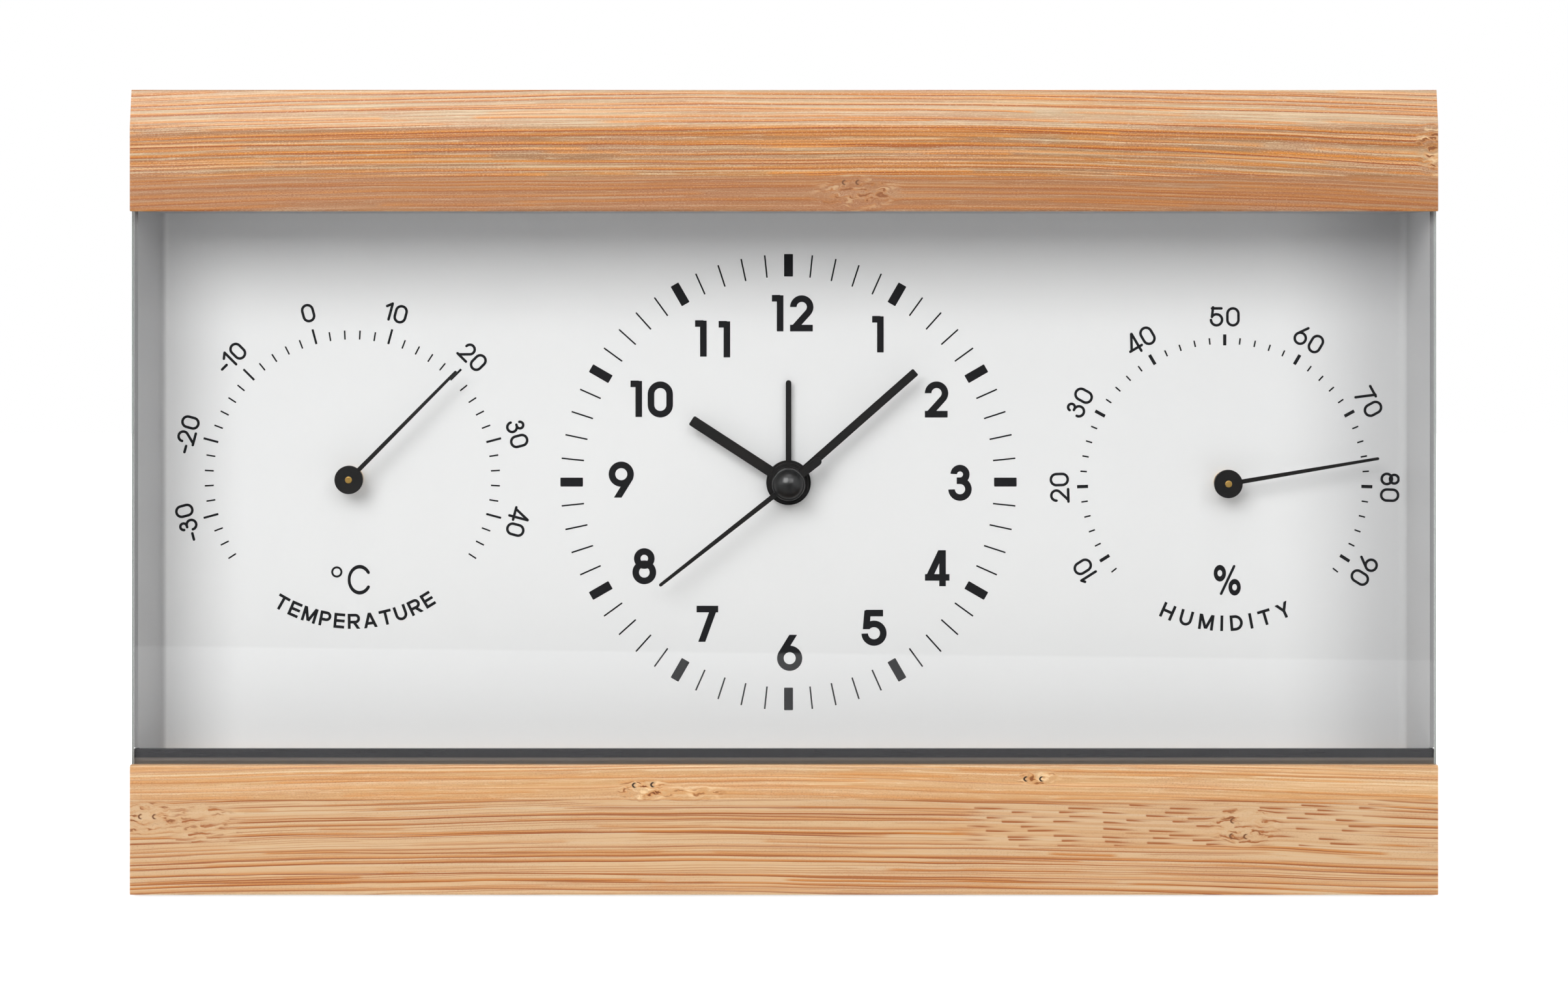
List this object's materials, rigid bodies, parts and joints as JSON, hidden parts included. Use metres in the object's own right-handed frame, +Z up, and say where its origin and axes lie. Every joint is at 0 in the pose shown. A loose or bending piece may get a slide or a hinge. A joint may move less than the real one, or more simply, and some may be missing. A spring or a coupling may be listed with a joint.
{
  "type": "thermometer hygrometer clock",
  "caption": "Table clock with an alarm, a thermometer and a hygrometer on a white dial behind glass, held between bamboo bars, with a battery door and setting knobs behind.",
  "frame": {"origin": "on the table under the middle of the clock", "axes": "+X along the bars to the right as seen from the front, +Y from the dial to the back, +Z up"},
  "size_m": [0.25, 0.055, 0.1545],
  "materials": {
    "bamboo": "satin, laminated bamboo",
    "dial_white": "matt white",
    "glass": "clear, polished",
    "black_plastic": "fine matt grain",
    "case_plastic": "moulded",
    "hand_black": "satin black",
    "cap_black": "satin black",
    "rubber_black": "matt",
    "steel": "plain",
    "contact_metal": "plated",
    "brass": "satin",
    "copper": "enamelled wire",
    "magnet": "sintered magnet with a plastic pinion",
    "wheel_plastic": "moulded, plain",
    "knob_plastic": "moulded, grooved rim",
    "board_green": "lacquered board",
    "cell_skin": "printed film, plain"
  },
  "bodies": {
    "case": {"top_bar": "bamboo", "bottom_bar": "bamboo", "rubber_feet": "rubber_black", "bar_screws": "steel", "dial_plate": "dial_white", "front_glass": "glass", "sill_strip": "black_plastic", "rear_housing": "black_plastic", "battery_cell": "cell_skin", "positive_contact": "contact_metal", "negative_contact": "contact_metal", "movement_base": "case_plastic", "movement_cover": "case_plastic", "movement_screws": "steel", "cover_screws": "steel", "bridge_screws": "steel", "stator_screws": "steel", "train_bridge": "wheel_plastic", "stator_plate": "steel", "coil_core": "steel", "coil_bobbin": "wheel_plastic", "coil_winding": "copper", "circuit_board": "board_green", "quartz_crystal": "contact_metal", "driver_chip": "black_plastic", "buzzer": "black_plastic", "thermometer_bush": "brass", "thermometer_bracket": "steel", "thermometer_coil": "contact_metal", "hygrometer_bush": "brass", "hygrometer_bracket": "steel", "hygrometer_coil": "contact_metal"},
    "door": {"battery_door": "black_plastic"},
    "alarm": {"alarm_wheel": "wheel_plastic", "alarm_hand": "hand_black"},
    "hour": {"hour_wheel": "wheel_plastic", "hour_hand": "hand_black"},
    "minute": {"minute_arbor": "brass", "minute_hand": "hand_black"},
    "centre": {"centre_wheel": "wheel_plastic"},
    "motion": {"motion_wheel": "wheel_plastic", "time_knob": "knob_plastic"},
    "alarm_setting": {"alarm_setting_shaft": "wheel_plastic", "alarm_knob": "knob_plastic"},
    "seconds": {"seconds_wheel": "wheel_plastic", "second_hand": "hand_black", "hand_cap": "cap_black"},
    "third": {"third_wheel": "wheel_plastic"},
    "step": {"step_wheel": "wheel_plastic"},
    "rotor": {"rotor": "magnet"},
    "switch": {"alarm_switch": "knob_plastic"},
    "thermometer": {"thermometer_spindle": "brass", "thermometer_pointer": "hand_black"},
    "hygrometer": {"hygrometer_spindle": "brass", "hygrometer_pointer": "hand_black"}
  },
  "joints": [
    {"name": "minute_turn", "type": "hinge", "parent": "case", "child": "minute", "pos_m": [0.0009, 0.0005, 0.0775], "axis": [0, 1, 0], "continuous": true},
    {"name": "hour_turn", "type": "hinge", "parent": "case", "child": "hour", "pos_m": [0.0009, 0.0005, 0.0775], "axis": [0, 1, 0], "continuous": true},
    {"name": "motion_turn", "type": "hinge", "parent": "case", "child": "motion", "pos_m": [-0.00544, 0.0005, 0.07454], "axis": [0, 1, 0], "continuous": true},
    {"name": "alarm_turn", "type": "hinge", "parent": "case", "child": "alarm", "pos_m": [0.0009, 0.0005, 0.0775], "axis": [0, 1, 0], "continuous": true},
    {"name": "alarm_setting_turn", "type": "hinge", "parent": "case", "child": "alarm_setting", "pos_m": [0.00797, 0.0005, 0.0742], "axis": [0, 1, 0], "continuous": true},
    {"name": "seconds_turn", "type": "hinge", "parent": "case", "child": "seconds", "pos_m": [0.0009, 0.0005, 0.0775], "axis": [0, 1, 0], "continuous": true},
    {"name": "third_turn", "type": "hinge", "parent": "case", "child": "third", "pos_m": [0.00531, 0.0005, 0.0812], "axis": [0, 1, 0], "continuous": true},
    {"name": "centre_turn", "type": "hinge", "parent": "case", "child": "centre", "pos_m": [0.0009, 0.0005, 0.0775], "axis": [0, 1, 0], "continuous": true},
    {"name": "step_turn", "type": "hinge", "parent": "case", "child": "step", "pos_m": [-0.00312, 0.0005, 0.08088], "axis": [0, 1, 0], "continuous": true},
    {"name": "rotor_turn", "type": "hinge", "parent": "case", "child": "rotor", "pos_m": [-0.00497, 0.0005, 0.08595], "axis": [0, 1, 0], "continuous": true},
    {"name": "thermometer_turn", "type": "hinge", "parent": "case", "child": "thermometer", "pos_m": [-0.0862, 0.0005, 0.0783], "axis": [0, 1, 0], "range_deg": [-168, 78], "stiffness_Nm_per_rad": 0.0015},
    {"name": "hygrometer_turn", "type": "hinge", "parent": "case", "child": "hygrometer", "pos_m": [0.088, 0.0005, 0.0775], "axis": [0, 1, 0], "range_deg": [-208, 48], "stiffness_Nm_per_rad": 0.0015},
    {"name": "switch_slide", "type": "slide", "parent": "case", "child": "switch", "axis": [1, 0, 0], "range_m": [0, 0.004]},
    {"name": "door_swing", "type": "hinge", "parent": "case", "child": "door", "pos_m": [0.0009, 0.0205, 0.0496], "axis": [-1, 0, 0], "range_deg": [0, 95]}
  ],
  "couplings": [
    {"joint": "hour_turn", "follows": "minute_turn", "ratio": 0.083333},
    {"joint": "motion_turn", "follows": "minute_turn", "ratio": -0.33333},
    {"joint": "alarm_setting_turn", "follows": "alarm_turn", "ratio": -3.3333},
    {"joint": "third_turn", "follows": "seconds_turn", "ratio": -0.125},
    {"joint": "centre_turn", "follows": "seconds_turn", "ratio": 0.016667},
    {"joint": "step_turn", "follows": "seconds_turn", "ratio": -6},
    {"joint": "rotor_turn", "follows": "seconds_turn", "ratio": 30}
  ]
}
